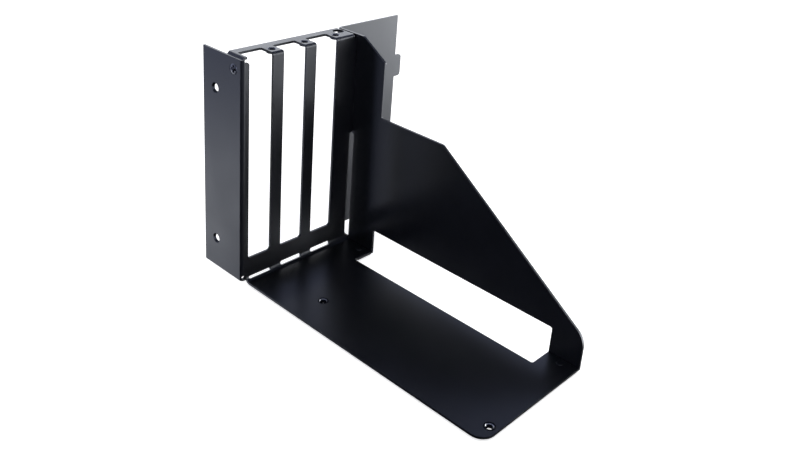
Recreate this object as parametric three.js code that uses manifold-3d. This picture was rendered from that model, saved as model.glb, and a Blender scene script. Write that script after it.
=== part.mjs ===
// Vertical expansion-card holder: a bent steel slot frame with a tray, and a bent side wall.
// Millimetres. X runs along the slot plate, Y to the rear of the plate, Z up. The pieces are drawn from
// the first opening's left edge, the plate's front face and the tray's top, then stood over the origin.
import * as THREE from 'three';
import { mergeVertices } from 'three/addons/utils/BufferGeometryUtils.js';
import Module from 'manifold-3d';

const wasm = await Module();
wasm.setup();

// ---- driving dimensions -------------------------------------------------------------------------
const SHEET = 1.2;            // steel thickness
const HEIGHT = 117.7;         // tray top to the top of the upper flange
const TRAY_LENGTH = 152.6;    // slot plate front face to the tray's front edge
const SLOT_PITCH = 20.32;     // expansion slot spacing
const SLOT_COUNT = 3;
const SLOT_WIDTH = 13.8;      // opening between two dividers
const SILL = 12.7;            // lower edge of the openings above the tray
const FLANGE_DEPTH = 14.0;    // upper flange, front face of the plate to its rear edge
const NOTCH_DEPTH = 9.3;      // how far each opening cuts back into the upper flange
const LEFT_EDGE = -4.0;       // outer face of the left wall, from the first opening's left edge
const LEFT_DEPTH = 30.3;      // left wall, front to rear
const TRAY_LEFT = -1.1;       // left edge of the tray
const WALL_X = 68.0;          // inner face of the side wall
const PANEL_WIDTH = 43.3;     // rear panel, beyond the outer face of the side wall
const CASE_HOLE_SPAN = 4 * SLOT_PITCH;  // between the two case screw holes in the left wall
const CASE_HOLE = { y: 21.0, z: 16.5, r: 1.8, rim: 2.6, sink: 1.0 };  // the lower one, countersunk
const TRAY_CORNER = 7.0;      // round at the tray's front left corner

const SLITS = [{ tilt: 33, height: 1.3 }, { tilt: 22, height: 2.1 }, { tilt: 22, height: 2.1 }];
const SLIT_SHIFT = 0.4;       // the slits sit a little right of the openings above them
const RELIEF_HOLE = { x: -2.7, z: 2.6, r: 0.9 };   // where the left wall, plate and tray bends meet
const WALL_PEAK = [-4.4, -20.4];   // ends of the side wall's short sloping top
const WALL_PEAK_DROP = 9.9;        // how far that slope falls
const WALL_SHOULDER = 78.0;        // height of the level step in front of it
const WALL_BROW_Y = -62.0;         // where the long slope to the front begins
const WALL_NOSE = 15.5;            // height of the side wall at its front edge

// ---- derived dimensions and clearances ----------------------------------------------------------
const SEAM = 0.2;             // gap where the two sheets meet edge to face
const SEAT = 0.03;            // faces that rest on one another
const FIT = 0.1;              // radial clearance of a screw or rivet in its hole
const END_GAP = 0.15;         // gap between an end tab and the wall beside it
const LAP = 6.0;              // how far the leg of a bend runs on inside the sheet that it joins
const PAST = 2.0;             // how far a cutter runs past the sheet that it cuts
const TRAY_BEND = 2.7;        // inner bend radii
const FLANGE_BEND = 0.3;
const LEFT_BEND = 0.6;
const TAB_BEND = 0.4;
const PANEL_BEND = 1.0;
const FOOT_BEND = 0.15;
const LEFT_TOP = HEIGHT - 0.9;
const LEFT_BOTTOM = 0.6;
const LEFT_INNER = LEFT_EDGE + SHEET;
const WALL_OUT = WALL_X + SHEET;
const WALL_TOP = HEIGHT - 0.1;
const WALL_BOTTOM = 0.4;      // lower edge of the rear panel
const WALL_FOOT_Y = 6.0;      // the wall reaches down beside the tray as far back as this
const TRAY_RIGHT = WALL_X - SEAM;
const CUT_X = 55.3;           // cut-out across the tray's right edge and the wall's foot
const CUT_Z = 13.1;
const CUT_REAR = -20.0;
const CUT_FRONT = -TRAY_LENGTH + 16.6;
const SLOT_END_Z = 64;        // tall corner slot between the plate and the side wall
const SLOT_EDGE_X = 66.2;
const PANEL_Y = FLANGE_DEPTH - 0.1;     // front face of the rear panel
const TONGUE = { reach: 4.7, z: [81.8, 94.4], root: 4 };
const TAB_DROP = 11.7;        // end tabs of the upper flange
const TAB_Y = [1.6, FLANGE_DEPTH - 0.6];
const RELIEF_DROP = 2.2;      // the first stile ends this far below the flange's top
const CORNER_SCREW = { y: 6.8, z: HEIGHT - 6.5, shank: 1.5, head: 2.8, sink: 0.9 };
const BUSH_X = (SLOT_WIDTH + SLOT_PITCH) / 2 - 0.2;   // from each opening's left edge
const BUSH = { y: 5.1, body: 2.7, neck: 2.3, bore: 1.75, drop: 0.7 };
const WIDE_HOLE = { x: 63.2, y: 9.2, r: 2.9 };
const TRAY_NUTS = [['rear', 16.6, -38.1], ['front', 7.9, 4.1 - TRAY_LENGTH]];
const TRAY_NUT = { body: 3.3, neck: 2.75, bore: 2.1, drop: SHEET };   // flush with the feet below
const FEET = [['rear', -19.0, -8.0], ['front', 2.6 - TRAY_LENGTH, 13.6 - TRAY_LENGTH]];
const FOOT_REACH = 9.0;
const RIVET = { inset: 3.4, shank: 1.2, head: 1.7, height: 0.2, tail: 1.9, sink: 0.7 };
const LOWEST = -2 * SHEET - SEAT;   // the part stands on its feet and clinch nuts
const PLAN_CENTRE = [(LEFT_EDGE + WALL_OUT + PANEL_WIDTH + TONGUE.reach) / 2, (LEFT_DEPTH - TRAY_LENGTH) / 2];

// ---- solids -------------------------------------------------------------------------------------
const X = new THREE.Vector3(1, 0, 0);
const Y = new THREE.Vector3(0, 1, 0);
const Z = new THREE.Vector3(0, 0, 1);
const neg = (v) => v.clone().negate();
const at = (x, y, z) => new THREE.Vector3(x, y, z);

function toManifold(source) {
  const geometry = source.clone();
  geometry.deleteAttribute('normal');
  geometry.deleteAttribute('uv');
  const merged = mergeVertices(geometry, 1e-5);
  return new wasm.Manifold(new wasm.Mesh({
    numProp: 3,
    vertProperties: new Float32Array(merged.attributes.position.array),
    triVerts: new Uint32Array(merged.index.array),
  }));
}

function toGeometry(manifold) {
  const mesh = manifold.getMesh();
  const positions = new Float32Array(mesh.numVert * 3);
  for (let i = 0; i < mesh.numVert; i += 1) {
    for (let k = 0; k < 3; k += 1) positions[3 * i + k] = mesh.vertProperties[i * mesh.numProp + k];
  }
  const geometry = new THREE.BufferGeometry();
  geometry.setAttribute('position', new THREE.BufferAttribute(positions, 3));
  geometry.setIndex(Array.from(mesh.triVerts));
  return geometry;
}

// A flat shape drawn on axes u, v from an origin, thickened along w.
function slab(shape, depth, origin, u, v, w) {
  const geometry = new THREE.ExtrudeGeometry(shape, { depth, bevelEnabled: false, curveSegments: 8 });
  geometry.applyMatrix4(new THREE.Matrix4().makeBasis(u, v, w).setPosition(origin));
  if (new THREE.Vector3().crossVectors(u, v).dot(w) < 0) {
    const p = geometry.attributes.position.array;
    for (let i = 0; i < p.length; i += 9) {
      for (let k = 0; k < 3; k += 1) [p[i + 3 + k], p[i + 6 + k]] = [p[i + 6 + k], p[i + 3 + k]];
    }
  }
  return toManifold(geometry);
}

// A round bar, or a cone, along an axis.
function bar(origin, axis, length, r0, r1 = r0, segments = 28) {
  const geometry = new THREE.CylinderGeometry(r1, r0, length, segments);
  geometry.translate(0, length / 2, 0);
  geometry.applyQuaternion(new THREE.Quaternion().setFromUnitVectors(Y, axis));
  geometry.translate(origin.x, origin.y, origin.z);
  return toManifold(geometry);
}

// Cutter for a countersink: a cone from a face inward, carried on a little way outside the face.
function sunkCone(face, inward, depth, rim, end) {
  const spare = 0.5;
  const slope = (rim - end) / depth;
  return bar(face.clone().addScaledVector(inward, -spare), inward, depth + spare, rim + slope * spare, end);
}

function block(x0, x1, y0, y1, z0, z1) {
  const geometry = new THREE.BoxGeometry(x1 - x0, y1 - y0, z1 - z0);
  geometry.translate((x0 + x1) / 2, (y0 + y1) / 2, (z0 + z1) / 2);
  return toManifold(geometry);
}

// Section of a sheet bent through a right angle, measured along both legs from the outer corner.
function elbow(a, b, inner) {
  const outer = inner + SHEET;
  const s = new THREE.Shape();
  s.moveTo(a, 0);
  s.lineTo(a, SHEET);
  s.lineTo(outer, SHEET);
  s.absarc(outer, outer, inner, -Math.PI / 2, -Math.PI, true);
  s.lineTo(SHEET, b);
  s.lineTo(0, b);
  s.lineTo(0, outer);
  s.absarc(outer, outer, outer, Math.PI, 1.5 * Math.PI, false);
  s.closePath();
  return s;
}

// Closed outline whose corners are rounded: each corner is [u, v, radius].
function rounded(corners) {
  const s = new THREE.Shape();
  const n = corners.length;
  corners.forEach(([u, v, r], i) => {
    const p = new THREE.Vector2(u, v);
    if (!r) {
      if (i === 0) s.moveTo(u, v); else s.lineTo(u, v);
      return;
    }
    const back = new THREE.Vector2(...corners[(i + n - 1) % n]).sub(p).normalize();
    const on = new THREE.Vector2(...corners[(i + 1) % n]).sub(p).normalize();
    const half = Math.acos(THREE.MathUtils.clamp(back.dot(on), -1, 1)) / 2;
    const reach = r / Math.tan(half);
    const start = p.clone().addScaledVector(back, reach);
    const end = p.clone().addScaledVector(on, reach);
    const centre = p.clone().addScaledVector(back.clone().add(on).normalize(), r / Math.sin(half));
    const a0 = Math.atan2(start.y - centre.y, start.x - centre.x);
    let turn = Math.atan2(end.y - centre.y, end.x - centre.x) - a0;
    if (turn > Math.PI) turn -= 2 * Math.PI;
    if (turn < -Math.PI) turn += 2 * Math.PI;
    const steps = 6;
    for (let k = 0; k <= steps; k += 1) {
      const a = a0 + (turn * k) / steps;
      const q = [centre.x + r * Math.cos(a), centre.y + r * Math.sin(a)];
      if (i === 0 && k === 0) s.moveTo(...q); else s.lineTo(...q);
    }
  });
  s.closePath();
  return s;
}

const box2 = (u0, u1, v0, v1, r = 0) => rounded([[u0, v0, r], [u1, v0, r], [u1, v1, r], [u0, v1, r]]);
const join = (list) => list.reduce((a, b) => a.add(b));
const cut = (body, list) => list.reduce((a, b) => a.subtract(b), body);

// ---- slot frame: tray, slot plate, left wall, upper flange with its two end tabs ------------------
function slotFrame() {
  const flangeLeft = LEFT_INNER + END_GAP;
  const flangeRight = WALL_X - END_GAP;
  const tabReach = TAB_BEND + SHEET;
  const tabDepth = TAB_Y[1] - TAB_Y[0];
  const body = join([
    // tray and slot plate
    slab(elbow(TRAY_LENGTH + SHEET, HEIGHT + SHEET - PAST, TRAY_BEND), TRAY_RIGHT - TRAY_LEFT,
      at(TRAY_LEFT, SHEET, -SHEET), neg(Y), Z, X),
    // slot plate and upper flange
    slab(elbow(FLANGE_DEPTH, LAP, FLANGE_BEND), flangeRight - flangeLeft - 2 * tabReach,
      at(flangeLeft + tabReach, 0, HEIGHT), Y, neg(Z), X),
    // slot plate and left wall
    slab(elbow(LAP, LEFT_DEPTH, LEFT_BEND), LEFT_TOP - LEFT_BOTTOM, at(LEFT_EDGE, 0, LEFT_BOTTOM), X, Y, Z),
    // end tabs, folded down against the left wall and the side wall
    slab(elbow(LAP, TAB_DROP, TAB_BEND), tabDepth, at(flangeLeft, TAB_Y[0], HEIGHT), X, neg(Z), Y),
    slab(elbow(LAP, TAB_DROP, TAB_BEND), tabDepth, at(flangeRight, TAB_Y[0], HEIGHT), neg(X), neg(Z), Y),
  ]);
  const cuts = [];
  for (let i = 0; i < SLOT_COUNT; i += 1) {
    const x0 = i * SLOT_PITCH;
    const x1 = x0 + SLOT_WIDTH;
    // opening with rounded lower corners, running out through the upper flange as a notch
    cuts.push(slab(rounded([[x0, SILL, 1.5], [x1, SILL, 1.5], [x1, HEIGHT + 2, 0], [x0, HEIGHT + 2, 0]]),
      SHEET + 1.5, at(0, -0.5, 0), X, Z, Y));
    cuts.push(slab(rounded([[x0, -1, 0], [x1, -1, 0], [x1, NOTCH_DEPTH, 0.8], [x0, NOTCH_DEPTH, 0.8]]),
      4, at(0, 0, HEIGHT - 3), X, Y, Z));
    // slit for the card bracket's tongue, in the bend between tray and plate
    const tilt = THREE.MathUtils.degToRad(SLITS[i].tilt);
    const half = SLITS[i].height / 2;
    const out = at(0, Math.cos(tilt), -Math.sin(tilt));
    const up = at(0, Math.sin(tilt), Math.cos(tilt));
    const centre = at(0, SHEET / 2 - TRAY_BEND, TRAY_BEND).addScaledVector(out, TRAY_BEND);
    cuts.push(slab(box2(x0 + SLIT_SHIFT, x1 + SLIT_SHIFT, -half, half, half - 0.05), 5,
      centre.addScaledVector(out, -2.5), X, up, out));
    // hole for the threaded bush beside the opening
    cuts.push(bar(at(x0 + BUSH_X, BUSH.y, HEIGHT - 3), Z, 4, BUSH.neck));
  }
  cuts.push(bar(at(WIDE_HOLE.x, WIDE_HOLE.y, HEIGHT - 3), Z, 4, WIDE_HOLE.r));
  TRAY_NUTS.forEach(([, x, y]) => cuts.push(bar(at(x, y, -3), Z, 4, TRAY_NUT.neck)));
  FEET.forEach(([, y0, y1]) => {
    cuts.push(bar(at(WALL_X - RIVET.inset, (y0 + y1) / 2, -3), Z, 4, RIVET.shank + FIT));
  });
  // case screw holes, countersunk from the outer face
  [0, 1].forEach((k) => {
    const z = CASE_HOLE.z + k * CASE_HOLE_SPAN;
    cuts.push(bar(at(LEFT_EDGE - 1, CASE_HOLE.y, z), X, SHEET + 2, CASE_HOLE.r));
    cuts.push(sunkCone(at(LEFT_EDGE, CASE_HOLE.y, z), X, CASE_HOLE.sink, CASE_HOLE.rim, CASE_HOLE.r));
  });
  // corner screw holes in the left wall, countersunk, and in both end tabs
  const { y: screwY, z: screwZ, shank, head, sink } = CORNER_SCREW;
  cuts.push(bar(at(LEFT_EDGE - 1, screwY, screwZ), X, 4.5, shank + FIT));
  cuts.push(bar(at(WALL_X - 2.5, screwY, screwZ), X, 4, shank + FIT));
  cuts.push(sunkCone(at(LEFT_EDGE, screwY, screwZ), X, sink, head + FIT, shank + FIT));
  // open relief where the flange, the left wall and the first stile meet
  cuts.push(slab(rounded([[LEFT_INNER, HEIGHT - RELIEF_DROP, 0], [-0.9, HEIGHT - RELIEF_DROP, 0],
    [0.05, HEIGHT - RELIEF_DROP - 0.9, 0], [0.05, HEIGHT + 1, 0], [LEFT_INNER, HEIGHT + 1, 0]]),
  TAB_Y[0] + 1, at(0, -1, 0), X, Z, Y));
  // relief hole where the left wall, plate and tray bends meet
  cuts.push(bar(at(RELIEF_HOLE.x, -1, RELIEF_HOLE.z), Y, 4, RELIEF_HOLE.r, RELIEF_HOLE.r, 16));
  // cut-out along the tray's right edge
  cuts.push(slab(rounded([[CUT_X, CUT_FRONT, 1.0], [WALL_X + 2, CUT_FRONT, 0], [WALL_X + 2, CUT_REAR, 0],
    [CUT_X, CUT_REAR, 1.0]]), 4, at(0, 0, -2.5), X, Y, Z));
  // tall slot beside the side wall
  cuts.push(slab(rounded([[SLOT_EDGE_X, 1.9, 1.2], [WALL_X + 2, 1.9, 0], [WALL_X + 2, SLOT_END_Z, 0],
    [SLOT_EDGE_X, SLOT_END_Z, 1.2]]), SHEET + 2, at(0, -1, 0), X, Z, Y));
  // rounded front left corner of the tray
  const corner = new THREE.Shape();
  corner.moveTo(-1, -1);
  corner.lineTo(TRAY_CORNER, -1);
  corner.lineTo(TRAY_CORNER, 0);
  corner.absarc(TRAY_CORNER, TRAY_CORNER, TRAY_CORNER, -Math.PI / 2, -Math.PI, true);
  corner.lineTo(-1, TRAY_CORNER);
  corner.closePath();
  cuts.push(slab(corner, 4, at(TRAY_LEFT, -TRAY_LENGTH, -2.5), X, Y, Z));
  return cut(body, cuts);
}

// ---- side wall with the rear panel, its hook tongue and two feet under the tray -------------------
function sideWall() {
  const { y: screwY, z: screwZ, shank, head, sink } = CORNER_SCREW;
  const front = -TRAY_LENGTH;
  const outline = rounded([
    [front, -SHEET, 0], [CUT_FRONT, -SHEET, 0], [CUT_FRONT, CUT_Z, 1.0], [CUT_REAR, CUT_Z, 1.0],
    [CUT_REAR, -SHEET, 0], [WALL_FOOT_Y, -SHEET, 0], [WALL_FOOT_Y, WALL_BOTTOM, 0],
    [PANEL_Y - PAST, WALL_BOTTOM, 0], [PANEL_Y - PAST, WALL_TOP, 0], [WALL_PEAK[0], WALL_TOP, 1.5],
    [WALL_PEAK[1], WALL_TOP - WALL_PEAK_DROP, 1.5], [WALL_PEAK[1], WALL_SHOULDER, 0.8],
    [WALL_BROW_Y, WALL_SHOULDER, 4], [front, WALL_NOSE, 9],
  ]);
  const plates = [
    slab(outline, SHEET, at(WALL_X, 0, 0), Y, Z, X),
    slab(elbow(LAP, SHEET + PANEL_WIDTH, PANEL_BEND), WALL_TOP - WALL_BOTTOM,
      at(WALL_X, PANEL_Y + SHEET, WALL_BOTTOM), neg(Y), X, Z),
    slab(box2(WALL_OUT + PANEL_WIDTH - TONGUE.root, WALL_OUT + PANEL_WIDTH + TONGUE.reach, ...TONGUE.z, 1.8),
      SHEET, at(0, PANEL_Y, 0), X, Z, Y),
  ];
  FEET.forEach(([, y0, y1]) => {
    plates.push(slab(elbow(SHEET + FOOT_REACH, LAP, FOOT_BEND), y1 - y0,
      at(WALL_OUT, y0, -2 * SHEET - SEAT), neg(X), Z, Y));
  });
  const cuts = [
    slab(box2(-1.3, 3.4, 1.1, SLOT_END_Z - 0.4, 1.6), SHEET + 2, at(WALL_X - 1, 0, 0), Y, Z, X),
    bar(at(WALL_X - 1, screwY, screwZ), X, 4, shank + FIT),
    sunkCone(at(WALL_OUT, screwY, screwZ), neg(X), sink, head + FIT, shank + FIT),
  ];
  FEET.forEach(([, y0, y1]) => {
    const foot = at(WALL_X - RIVET.inset, (y0 + y1) / 2, LOWEST);
    cuts.push(bar(foot.clone().addScaledVector(Z, -1), Z, 4, RIVET.shank + FIT));
    cuts.push(sunkCone(foot, Z, RIVET.sink, RIVET.tail + FIT, RIVET.shank + FIT));
  });
  return cut(join(plates), cuts);
}

// ---- small hardware -----------------------------------------------------------------------------
// Threaded bush pressed into a sheet from below; top is the upper face of the sheet.
function bush(x, y, top, size) {
  const body = join([
    bar(at(x, y, top - SHEET), Z, SHEET, size.neck - 0.02),
    bar(at(x, y, top - SHEET - SEAT - size.drop), Z, size.drop, size.body),
    bar(at(x, y, top - SHEET - 0.5), Z, 0.6, size.bore + 0.4),
  ]);
  return cut(body, [
    bar(at(x, y, top - SHEET - size.drop - 1), Z, size.drop + SHEET + 2, size.bore),
    bar(at(x, y, top - 0.4), Z, 0.5, size.bore, size.bore + 0.5),
  ]);
}

// Countersunk screw with a cross recess; its head lies flush with the face and the shank runs inward.
function cornerScrew(face, inward) {
  const { shank, head, sink } = CORNER_SCREW;
  const body = join([
    bar(face, inward, sink, head, shank),
    bar(face, inward, 2 * SHEET + 1.6, shank),
  ]);
  const recess = { depth: 0.8, reach: 1.7, half: 0.42 };
  const arm = (a, b) => block(-recess.depth, recess.depth, -a, a, -b, b).translate(face.x, face.y, face.z);
  return cut(body, [arm(recess.reach, recess.half), arm(recess.half, recess.reach)]);
}

// Rivet through the tray and a foot of the side wall: low head above, countersunk tail flush below.
function footRivet(y) {
  const x = WALL_X - RIVET.inset;
  return join([
    bar(at(x, y, SEAT), Z, RIVET.height, RIVET.head, RIVET.head - 0.3),
    bar(at(x, y, LOWEST), Z, SEAT + 0.1 - LOWEST, RIVET.shank),
    bar(at(x, y, LOWEST), Z, RIVET.sink, RIVET.tail, RIVET.shank),
  ]);
}

// ---- assembly -----------------------------------------------------------------------------------
const group = new THREE.Group();
group.name = 'vertical_card_holder';

function addPiece(name, manifold, colour, roughness, metalness) {
  const material = new THREE.MeshStandardMaterial({ color: colour, roughness, metalness });
  const stood = manifold.translate(-PLAN_CENTRE[0], -PLAN_CENTRE[1], -LOWEST);
  const mesh = new THREE.Mesh(toGeometry(stood), material);
  mesh.name = name;
  group.add(mesh);
}

addPiece('slot_frame_sheet', slotFrame(), 0x17181c, 0.45, 0.3);
addPiece('side_wall_sheet', sideWall(), 0x17181c, 0.45, 0.3);
for (let i = 0; i < SLOT_COUNT; i += 1) {
  const x = i * SLOT_PITCH + BUSH_X;
  addPiece(`slot_screw_bush_${i + 1}`, bush(x, BUSH.y, HEIGHT, BUSH), 0x2b2c30, 0.4, 0.8);
}
TRAY_NUTS.forEach(([place, x, y]) => {
  addPiece(`tray_clinch_nut_${place}`, bush(x, y, 0, TRAY_NUT), 0x2b2c30, 0.4, 0.8);
});
addPiece('left_corner_screw', cornerScrew(at(LEFT_EDGE, CORNER_SCREW.y, CORNER_SCREW.z), X.clone()),
  0x3a3b40, 0.35, 0.9);
addPiece('right_corner_screw', cornerScrew(at(WALL_OUT, CORNER_SCREW.y, CORNER_SCREW.z), neg(X)),
  0x3a3b40, 0.35, 0.9);
FEET.forEach(([place, y0, y1]) => {
  addPiece(`foot_rivet_${place}`, footRivet((y0 + y1) / 2), 0x1d1e22, 0.4, 0.6);
});

export default group;
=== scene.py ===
"""Vertical card holder: bent, satin black steel sheets with threaded bushes, screws and rivets."""
import math

import bmesh
import bpy
from mathutils import Matrix, Vector


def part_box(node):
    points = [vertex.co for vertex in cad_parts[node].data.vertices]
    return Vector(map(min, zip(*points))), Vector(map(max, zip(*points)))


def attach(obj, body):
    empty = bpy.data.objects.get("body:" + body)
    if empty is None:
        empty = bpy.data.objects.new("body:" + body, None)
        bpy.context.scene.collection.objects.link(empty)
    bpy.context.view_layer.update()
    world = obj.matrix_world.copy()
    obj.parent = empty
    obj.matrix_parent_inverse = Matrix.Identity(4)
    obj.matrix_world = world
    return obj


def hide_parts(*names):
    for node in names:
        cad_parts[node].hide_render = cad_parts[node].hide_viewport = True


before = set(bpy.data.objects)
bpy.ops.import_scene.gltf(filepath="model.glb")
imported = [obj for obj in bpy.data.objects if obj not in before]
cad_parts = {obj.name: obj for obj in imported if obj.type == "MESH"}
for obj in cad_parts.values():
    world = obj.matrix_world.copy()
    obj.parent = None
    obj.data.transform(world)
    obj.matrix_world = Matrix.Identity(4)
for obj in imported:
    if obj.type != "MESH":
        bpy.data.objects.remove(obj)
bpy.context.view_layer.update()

MM = 0.001
BODY = "root"
SHEET = 1.2                  # thickness of both sheets, mm

# ---- camera: the photograph's viewpoint, solved in the model's own frame ---------------------------
CAMERA_PLACE = (-0.29172, -0.24343, 0.24806)
CAMERA_TURN = (67.8361, -4.1498, -46.6757)   # degrees
CAMERA_LENS = 39.56
CAMERA_SENSOR = 36.0
CAMERA_SHIFT = (-0.0033, -0.1283)
CAMERA_CLIP = 0.01

camera_data = bpy.data.cameras.new("camera")
camera_data.lens = CAMERA_LENS
camera_data.sensor_width = CAMERA_SENSOR
camera_data.shift_x, camera_data.shift_y = CAMERA_SHIFT
camera_data.clip_start = CAMERA_CLIP
camera = bpy.data.objects.new("camera", camera_data)
camera.location = CAMERA_PLACE
camera.rotation_euler = [math.radians(a) for a in CAMERA_TURN]
bpy.context.collection.objects.link(camera)
bpy.context.scene.camera = camera

# ---- materials --------------------------------------------------------------------------------------
# Sockets of a Mix node by number, because its colour and float sockets share their names.
FACTOR = 0
COLOUR_A, COLOUR_B, COLOUR_OUT = 6, 7, 2
FLOAT_A, FLOAT_B, FLOAT_OUT = 2, 3, 0

COAT_DARK = (0.0004, 0.0005, 0.0011)
COAT_LIGHT = (0.0007, 0.0008, 0.0018)
COAT_DUST = (0.0028, 0.0031, 0.0045)
COAT_ROUGH = (0.29, 0.35)
COAT_SPECULAR = 1.0
CLOUD_SCALE = 45.0           # noise scales, per metre
PEEL_SCALE = 900.0
SPECK_SCALE = 1500.0
SPECK_RANGE = (0.70, 0.78)   # only the noise's peaks show as dust
SPECK_MOST = 0.35
PEEL_BUMP = (0.10, 0.00004)  # strength, and depth in metres

LINE_SCALE = 2200.0
LINE_STRETCH = (1.0, 1.0, 12.0)
LINE_BUMP = (0.18, 0.00003)
PLATING_SCALE = 420.0
ROUGH_SPREAD = (-0.05, 0.07)

TONE_RANGE = (0.35, 0.65)    # part of a noise's range that carries a change of tone
GLOSS_RANGE = (0.3, 0.7)     # and of gloss


class Nodes:
    """Short hand for building one material's node tree."""

    def __init__(self, name):
        self.material = bpy.data.materials.new(name)
        self.material.use_nodes = True
        self.tree = self.material.node_tree
        self.bsdf = self.tree.nodes["Principled BSDF"]
        self.place = self.add("ShaderNodeTexCoord").outputs["Object"]

    def add(self, kind, **values):
        node = self.tree.nodes.new(kind)
        for key, value in values.items():
            setattr(node, key, value)
        return node

    def link(self, a, b):
        self.tree.links.new(a, b)

    def noise(self, scale, detail=3.0, rough=0.55, stretch=None):
        node = self.add("ShaderNodeTexNoise")
        node.inputs["Scale"].default_value = scale
        node.inputs["Detail"].default_value = detail
        node.inputs["Roughness"].default_value = rough
        source = self.place
        if stretch:
            mapping = self.add("ShaderNodeMapping")
            mapping.inputs["Scale"].default_value = stretch
            self.link(source, mapping.inputs["Vector"])
            source = mapping.outputs["Vector"]
        self.link(source, node.inputs["Vector"])
        return node.outputs["Fac"]

    def spread(self, value, span, target):
        """Carry one range of a value over to another, and hold it at the ends."""
        node = self.add("ShaderNodeMapRange")
        for key, number in zip(("From Min", "From Max", "To Min", "To Max"), (*span, *target)):
            node.inputs[key].default_value = number
        self.link(value, node.inputs["Value"])
        return node.outputs["Result"]

    def mix(self, factor, a, b):
        node = self.add("ShaderNodeMix", data_type="RGBA")
        for socket, colour in ((node.inputs[COLOUR_A], a), (node.inputs[COLOUR_B], b)):
            if isinstance(colour, tuple):
                socket.default_value = (*colour, 1.0)
            else:
                self.link(colour, socket)
        self.link(factor, node.inputs[FACTOR])
        return node.outputs[COLOUR_OUT]

    def bump(self, height, strength, distance):
        node = self.add("ShaderNodeBump")
        node.inputs["Strength"].default_value = strength
        node.inputs["Distance"].default_value = distance
        self.link(height, node.inputs["Height"])
        return node.outputs["Normal"]


def powder_coat(name):
    """Satin black coat on steel: fine orange peel, cloudy gloss, a little settled dust."""
    n = Nodes(name)
    cloud = n.noise(CLOUD_SCALE, 4.0)
    peel = n.noise(PEEL_SCALE, 3.0, 0.6)
    speck = n.spread(n.noise(SPECK_SCALE, 1.0, 0.4), SPECK_RANGE, (0.0, SPECK_MOST))
    tone = n.mix(n.spread(cloud, TONE_RANGE, (0.0, 1.0)), COAT_DARK, COAT_LIGHT)
    n.link(n.mix(speck, tone, COAT_DUST), n.bsdf.inputs["Base Color"])
    n.bsdf.inputs["Metallic"].default_value = 0.0
    n.bsdf.inputs["Specular IOR Level"].default_value = COAT_SPECULAR
    n.link(n.spread(cloud, GLOSS_RANGE, COAT_ROUGH), n.bsdf.inputs["Roughness"])
    n.link(n.bump(peel, *PEEL_BUMP), n.bsdf.inputs["Normal"])
    return n.material


def turned_steel(name, dark, light, rough):
    """Turned and plated hardware: fine machining lines and patchy plating."""
    n = Nodes(name)
    lines = n.noise(LINE_SCALE, 2.0, 0.5, LINE_STRETCH)
    plating = n.noise(PLATING_SCALE, 3.0)
    n.link(n.mix(n.spread(plating, TONE_RANGE, (0.0, 1.0)), dark, light), n.bsdf.inputs["Base Color"])
    n.bsdf.inputs["Metallic"].default_value = 1.0
    gloss = [rough + change for change in ROUGH_SPREAD]
    n.link(n.spread(plating, GLOSS_RANGE, gloss), n.bsdf.inputs["Roughness"])
    n.link(n.bump(lines, *LINE_BUMP), n.bsdf.inputs["Normal"])
    return n.material


SHEET_COAT = powder_coat("powder_coat")
BUSH_STEEL = turned_steel("bush_steel", (0.050, 0.052, 0.060), (0.085, 0.088, 0.098), 0.34)
INSERT_STEEL = turned_steel("insert_steel", (0.012, 0.013, 0.016), (0.030, 0.031, 0.036), 0.35)
# Lighter steel for the lead-in rims of the bushes and inserts only: a painted highlight where the rim
# catches the light, while the bore below keeps the darker steel.
LIT_RIM_STEEL = turned_steel("painted_highlight_rim", (0.34, 0.34, 0.35), (0.48, 0.48, 0.49), 0.34)
SCREW_STEEL = turned_steel("screw_steel", (0.17, 0.17, 0.18), (0.28, 0.28, 0.29), 0.33)
RIVET_PAINT = powder_coat("rivet_paint")

# ---- pieces -----------------------------------------------------------------------------------------
MERGE_DISTANCE = 1e-6        # metres
FLAT_ANGLE = 0.4             # degrees between faces that are one flat face
EDGE_WIDTH = 0.14            # mm, how far the coat eases a cut edge
EDGE_STEPS = 2
EDGE_ANGLE = 50              # degrees
SHEET_SMOOTH = 35            # degrees
FLAT_WEIGHT = 80
ROUND_SMOOTH = 35            # degrees, on turned pieces
SCREW_SMOOTH = 28
ON_AXIS = 1e-6               # mm, a profile point this near the axis is a single vertex
SEGMENTS = 48


def settle(obj, node, material):
    """Give a piece its finish and its body, and hide the CAD node that it stands for."""
    obj.data.materials.clear()
    obj.data.materials.append(material)
    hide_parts(node)
    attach(obj, BODY)
    return obj


def new_object(name, mesh):
    obj = bpy.data.objects.new(name, mesh)
    bpy.context.collection.objects.link(obj)
    return obj


def mesh_object(name, bm):
    """Turn a finished bmesh into an object."""
    mesh = bpy.data.meshes.new(name)
    bm.to_mesh(mesh)
    bm.free()
    return new_object(name, mesh)


def freeze(obj):
    """Apply the modifiers, so the piece is plain mesh."""
    evaluated = obj.evaluated_get(bpy.context.evaluated_depsgraph_get())
    mesh = bpy.data.meshes.new_from_object(evaluated)
    obj.modifiers.clear()
    obj.data = mesh
    return obj


def smooth(obj, angle):
    obj.data.shade_smooth()
    obj.data.set_sharp_from_angle(angle=math.radians(angle))
    return obj


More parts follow.
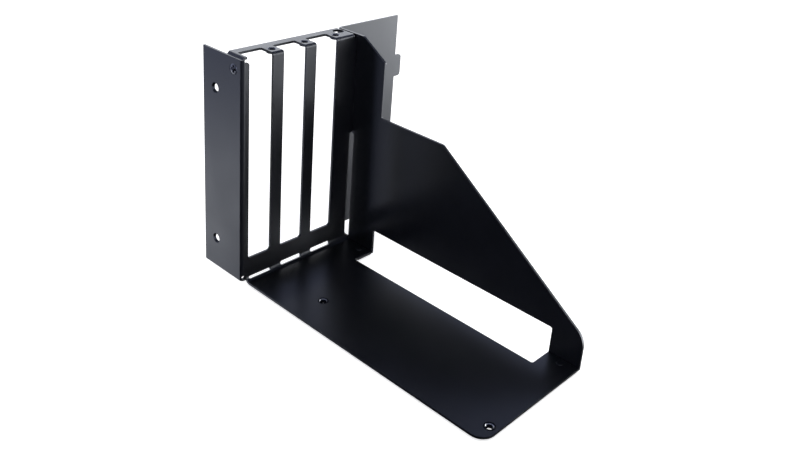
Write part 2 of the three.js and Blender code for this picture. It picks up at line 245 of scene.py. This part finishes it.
def sheet_piece(node, name):
    """A pressed sheet: the CAD outline with its cut edges eased by the coat."""
    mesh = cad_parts[node].data.copy()
    mesh.name = name
    bm = bmesh.new()
    bm.from_mesh(mesh)
    bmesh.ops.remove_doubles(bm, verts=bm.verts, dist=MERGE_DISTANCE)
    bmesh.ops.dissolve_limit(bm, angle_limit=math.radians(FLAT_ANGLE), verts=bm.verts, edges=bm.edges)
    bm.to_mesh(mesh)
    bm.free()
    obj = new_object(name, mesh)
    bevel = obj.modifiers.new("edge", "BEVEL")
    bevel.width = EDGE_WIDTH * MM
    bevel.segments = EDGE_STEPS
    bevel.limit_method = "ANGLE"
    bevel.angle_limit = math.radians(EDGE_ANGLE)
    smooth(freeze(obj), SHEET_SMOOTH)
    flatten = obj.modifiers.new("flat_faces", "WEIGHTED_NORMAL")
    flatten.mode = "FACE_AREA"
    flatten.weight = FLAT_WEIGHT
    flatten.keep_sharp = True
    return settle(freeze(obj), node, SHEET_COAT)


def lathe(name, profile):
    """A profile of (radius, height) points in mm, turned about Z.

    The profile is a closed loop round a bore, or an open run that starts and ends on the axis.
    """
    bm = bmesh.new()
    rings = []
    for r, z in profile:
        if r < ON_AXIS:
            rings.append([bm.verts.new((0, 0, z * MM))])
        else:
            rings.append([bm.verts.new((r * MM * math.cos(2 * math.pi * k / SEGMENTS),
                                        r * MM * math.sin(2 * math.pi * k / SEGMENTS), z * MM))
                          for k in range(SEGMENTS)])
    count = len(rings)
    closed = all(len(ring) > 1 for ring in rings)
    for i in range(count if closed else count - 1):
        a, b = rings[i], rings[(i + 1) % count]
        for k in range(SEGMENTS):
            j = (k + 1) % SEGMENTS
            if len(a) == 1:
                bm.faces.new((a[0], b[j], b[k]))
            elif len(b) == 1:
                bm.faces.new((a[k], a[j], b[0]))
            else:
                bm.faces.new((a[k], a[j], b[j], b[k]))
    bmesh.ops.recalc_face_normals(bm, faces=bm.faces)
    return mesh_object(name, bm)


def turn_to(obj, place, axis):
    """Bake a placing into the mesh: local Z along the axis, local origin at the place."""
    spin = Vector((0, 0, 1)).rotation_difference(Vector(axis)).to_matrix().to_4x4()
    obj.data.transform(Matrix.Translation(place) @ spin)
    return obj


def thread(radius, depth, start, end, pitch):
    """Profile points for a run of thread grooves on a bar (depth > 0) or in a bore (depth < 0)."""
    land, groove = 0.15, 0.5                 # where in each pitch the flat ends and the groove is deepest
    points = []
    z = start
    step = pitch if end > start else -pitch
    for _ in range(int(abs(end - start) / pitch)):
        points += [(radius, z), (radius, z + step * land), (radius - depth, z + step * groove),
                   (radius, z + step * (1 - land))]
        z += step
    return points + [(radius, end)]


def extent(node):
    """Middle, low corner and high corner of a CAD node's box."""
    low, high = (Vector(v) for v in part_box(node))
    return (low + high) / 2, low, high


# Bushes and inserts: lengths in mm.
BUSH_SEAT = 0.03             # gap between the collar and the sheet above it
BUSH_RIM = 0.35              # the rim's lead-in, across and down
BUSH_PITCH = 0.45
BUSH_GROOVE = 0.18           # thread depth
DISH_DEPTH = 0.4
DISH_OUTER = 0.75            # the dish's radii beyond the bore: mouth, floor's outer and inner edge
DISH_FLOOR = (0.68, 0.42)


def bush_piece(node, name, body, neck, bore, material, dished=False):
    """Threaded bush pressed in from below, with a collar under the sheet and a painted highlight on its
    lead-in rim.
    """
    centre, low, high = extent(node)
    height = (high.z - low.z) / MM
    step = height - SHEET - BUSH_SEAT
    outer = [(bore + 0.25, 0.0), (body - 0.2, 0.0), (body, 0.15), (body, step - 0.12), (body - 0.1, step),
             (neck, step), (neck, height - 0.05), (neck - 0.05, height)]
    inner = [(bore + BUSH_RIM, height), (bore, height - BUSH_RIM)]
    if dished:
        floor = [(bore + reach, height - DISH_DEPTH) for reach in DISH_FLOOR]
        inner = [(bore + DISH_OUTER, height)] + floor + inner
    inner += thread(bore, -BUSH_GROOVE, height - BUSH_RIM - 0.05, 0.2, BUSH_PITCH)
    obj = lathe(name, outer + inner)
    turn_to(obj, (centre.x, centre.y, low.z), (0, 0, 1))
    settle(smooth(obj, ROUND_SMOOTH), node, material)
    # The rim faces near the mouth take the lighter steel: a painted highlight on the lead-in rim.
    obj.data.materials.append(LIT_RIM_STEEL)
    for face in obj.data.polygons:
        across = math.hypot(face.center.x - centre.x, face.center.y - centre.y) / MM
        if bore + 0.05 < across < bore + 0.3 and high.z - face.center.z < 0.3 * MM:
            face.material_index = 1


# Cross recess of the corner screws, in mm.
RECESS_REACH = 2.0
RECESS_DEPTH = 1.6
RECESS_RISE = 0.1            # how far the cutter stands out of the head
RECESS_HALF = (0.72, 0.40)   # half the arm's width, at the mouth and at the bottom
RECESS_TAPER = 0.5


def cross_cutter(top):
    """Tapered four-armed driver recess, pointing down local Z."""
    bm = bmesh.new()
    ends = ((top, RECESS_REACH, RECESS_HALF[0]),
            (top - RECESS_DEPTH, RECESS_REACH * RECESS_TAPER, RECESS_HALF[1]))
    for turned in (False, True):
        corners = []
        for z, length, width in ends:
            for sx, sy in ((-1, -1), (1, -1), (1, 1), (-1, 1)):
                x, y = sx * length, sy * width
                if turned:
                    x, y = -y, x
                corners.append(bm.verts.new((x * MM, y * MM, z * MM)))
        bm.faces.new(corners[3::-1])
        bm.faces.new(corners[4:])
        for k in range(4):
            j = (k + 1) % 4
            bm.faces.new((corners[k], corners[j], corners[4 + j], corners[4 + k]))
    bmesh.ops.recalc_face_normals(bm, faces=bm.faces)
    return mesh_object("cutter", bm)


SCREW_SHANK = 1.48           # radius, mm
SCREW_HEAD = 0.9             # height of the countersunk head
SCREW_GROOVE = 0.24
SCREW_PITCH = 0.5


def corner_screw(node, name, axis):
    """Countersunk cross-recess screw; its head is flush with the face that looks along the axis."""
    centre, low, high = extent(node)
    face = (high.x - low.x) / MM
    neck = face - SCREW_HEAD
    tip = [(0.0, 0.0), (1.15, 0.0), (SCREW_SHANK, 0.3)]
    shank = thread(SCREW_SHANK, SCREW_GROOVE, 0.35, neck - 0.3, SCREW_PITCH) + [(SCREW_SHANK, neck)]
    head = [(2.62, face - 0.25), (2.5, face - 0.1), (2.3, face), (0.0, face)]
    obj = lathe(name, tip + shank + head)
    cutter = cross_cutter(face + RECESS_RISE)
    boolean = obj.modifiers.new("recess", "BOOLEAN")
    boolean.operation = "DIFFERENCE"
    boolean.solver = "EXACT"
    boolean.use_self = True
    boolean.object = cutter
    freeze(obj)
    bpy.data.objects.remove(cutter)
    x = high.x if axis[0] < 0 else low.x
    turn_to(obj, (x, centre.y, centre.z), axis)
    settle(smooth(obj, SCREW_SMOOTH), node, SCREW_STEEL)


def foot_rivet(node, name):
    """Low head on the tray, countersunk tail flush with the foot."""
    centre, low, high = extent(node)
    h = (high.z - low.z) / MM
    tail = [(0.0, 0.0), (1.82, 0.0), (1.88, 0.04), (1.2, 0.7)]
    head = [(1.2, h - 0.2), (1.7, h - 0.2), (1.66, h - 0.1), (1.45, h - 0.02), (1.1, h), (0.0, h)]
    obj = lathe(name, tail + head)
    turn_to(obj, (centre.x, centre.y, low.z), (0, 0, 1))
    settle(smooth(obj, ROUND_SMOOTH), node, RIVET_PAINT)


sheet_piece("slot_frame_sheet", "slot_frame")
sheet_piece("side_wall_sheet", "side_wall")
for i in range(1, 4):
    bush_piece(f"slot_screw_bush_{i}", f"slot_bush_{i}", 2.7, 2.28, 1.75, BUSH_STEEL)
for place in ("rear", "front"):
    bush_piece(f"tray_clinch_nut_{place}", f"tray_insert_{place}", 3.3, 2.73, 1.55, INSERT_STEEL, True)
corner_screw("left_corner_screw", "left_screw", (-1, 0, 0))
corner_screw("right_corner_screw", "right_screw", (1, 0, 0))
for place in ("rear", "front"):
    foot_rivet(f"foot_rivet_{place}", f"foot_rivet_head_{place}")

# ---- floor and light --------------------------------------------------------------------------------
FLOOR_HALF = 6.0             # metres
FLOOR_DROP = 0.0001
FLOOR_COLOUR = (0.93, 0.93, 0.935, 1)
FLOOR_GLOW = 0.55
ROOM_LIGHT = 1.15
ROOM_TINT = (0.98, 0.985, 1.0, 1)
REFLECTED_DIM_TINT = (0.80, 0.92, 1.45, 1)     # faint reflections are bluer than bright ones
REFLECTED_BRIGHT_TINT = (0.95, 0.985, 1.05, 1)
BRIGHT_REFLECTION = 1.8
HORIZON = ((-0.32, 0.002), (-0.12, 0.14))      # reflected room: (ray's rise, strength), below and above

# Soft cards that only reflections see: bearing in degrees from +X, fade-in on the ray's run along that
# bearing, ramp on its rise, strength.
CARDS = (
    (62, (0.85, 0.92), ((0.32, 1.0), (0.50, 0.0)), 1.9),        # in the upper flange
    (-20, (0.882, 0.91), ((-0.52, 0.05), (-0.38, 1.0)), 6.4),   # in the rear panel
    (98, (0.70, 0.80), ((-0.46, 1.0), (-0.36, 0.20)), 1.95),    # in the left wall and the side wall
    (-76, (0.875, 0.94), ((-0.56, 0.1), (-0.28, 1.0)), 1.9),    # in the left wall's front bend
    (-140, (0.70, 0.90), ((-0.30, 0.0), (-0.12, 1.0)), 0.7),    # low gleam from the front left
    (20, (0.55, 0.90), ((-0.30, 0.0), (-0.10, 0.5)), 0.6),      # low gleam from the right
)


def floor_piece():
    """A pale table, lit from within, so that it stays white under the part."""
    bm = bmesh.new()
    bmesh.ops.create_grid(bm, x_segments=1, y_segments=1, size=FLOOR_HALF)
    obj = mesh_object("floor", bm)
    obj.location.z = -FLOOR_DROP
    material = bpy.data.materials.new("floor")
    material.use_nodes = True
    shader = material.node_tree.nodes["Principled BSDF"]
    shader.inputs["Base Color"].default_value = FLOOR_COLOUR
    shader.inputs["Roughness"].default_value = 0.9
    shader.inputs["Specular IOR Level"].default_value = 0.1
    shader.inputs["Emission Color"].default_value = (1, 1, 1, 1)
    shader.inputs["Emission Strength"].default_value = FLOOR_GLOW
    obj.data.materials.append(material)
    obj.visible_glossy = False


class Studio:
    """The room round the part: white to look at and to light by, and soft cards in reflections."""

    def __init__(self):
        self.world = bpy.data.worlds.new("studio")
        self.world.use_nodes = True
        self.tree = self.world.node_tree
        self.ray = self.add("ShaderNodeTexCoord").outputs["Generated"]

    def add(self, kind, **values):
        node = self.tree.nodes.new(kind)
        for key, value in values.items():
            setattr(node, key, value)
        return node

    def link(self, a, b):
        self.tree.links.new(a, b)

    def math(self, operation, a, b):
        node = self.add("ShaderNodeMath", operation=operation)
        for socket, value in zip(node.inputs, (a, b)):
            if isinstance(value, (int, float)):
                socket.default_value = value
            else:
                self.link(value, socket)
        return node.outputs[0]

    def facing(self, direction):
        dot = self.add("ShaderNodeVectorMath", operation="DOT_PRODUCT")
        self.link(self.ray, dot.inputs[0])
        dot.inputs[1].default_value = Vector(direction).normalized()
        return dot.outputs["Value"]

    def ramp(self, value, start, end):
        """Smooth step between two (value, result) pairs."""
        node = self.add("ShaderNodeMapRange", interpolation_type="SMOOTHSTEP")
        for key, number in zip(("From Min", "From Max", "To Min", "To Max"),
                               (start[0], end[0], start[1], end[1])):
            node.inputs[key].default_value = number
        self.link(value, node.inputs["Value"])
        return node.outputs["Result"]

    def card(self, bearing, side, rise, strength):
        """Strength of one soft card on a reflected ray."""
        angle = math.radians(bearing)
        across = self.facing((math.cos(angle), math.sin(angle), 0.0))
        side = self.ramp(across, (side[0], 0.0), (side[1], 1.0))
        rise = self.ramp(self.facing((0, 0, 1)), *rise)
        return self.math("MULTIPLY", self.math("MULTIPLY", side, rise), strength)

    def build(self):
        reflected = self.ramp(self.facing((0, 0, 1)), *HORIZON)
        for card in CARDS:
            reflected = self.math("ADD", reflected, self.card(*card))
        glossy = self.add("ShaderNodeLightPath").outputs["Is Glossy Ray"]
        strength = self.add("ShaderNodeMix", data_type="FLOAT")
        self.link(glossy, strength.inputs[FACTOR])
        strength.inputs[FLOAT_A].default_value = ROOM_LIGHT
        self.link(reflected, strength.inputs[FLOAT_B])
        mirrored = self.add("ShaderNodeMix", data_type="RGBA")
        brightness = self.ramp(reflected, (0.0, 0.0), (BRIGHT_REFLECTION, 1.0))
        self.link(brightness, mirrored.inputs[FACTOR])
        mirrored.inputs[COLOUR_A].default_value = REFLECTED_DIM_TINT
        mirrored.inputs[COLOUR_B].default_value = REFLECTED_BRIGHT_TINT
        tint = self.add("ShaderNodeMix", data_type="RGBA")
        self.link(glossy, tint.inputs[FACTOR])
        tint.inputs[COLOUR_A].default_value = ROOM_TINT
        self.link(mirrored.outputs[COLOUR_OUT], tint.inputs[COLOUR_B])
        background = self.tree.nodes["Background"]
        self.link(tint.outputs[COLOUR_OUT], background.inputs["Color"])
        self.link(strength.outputs[FLOAT_OUT], background.inputs["Strength"])
        self.world.cycles.sampling_method = "NONE"
        bpy.context.scene.world = self.world


floor_piece()
Studio().build()
bpy.context.scene.view_settings.view_transform = "Standard"
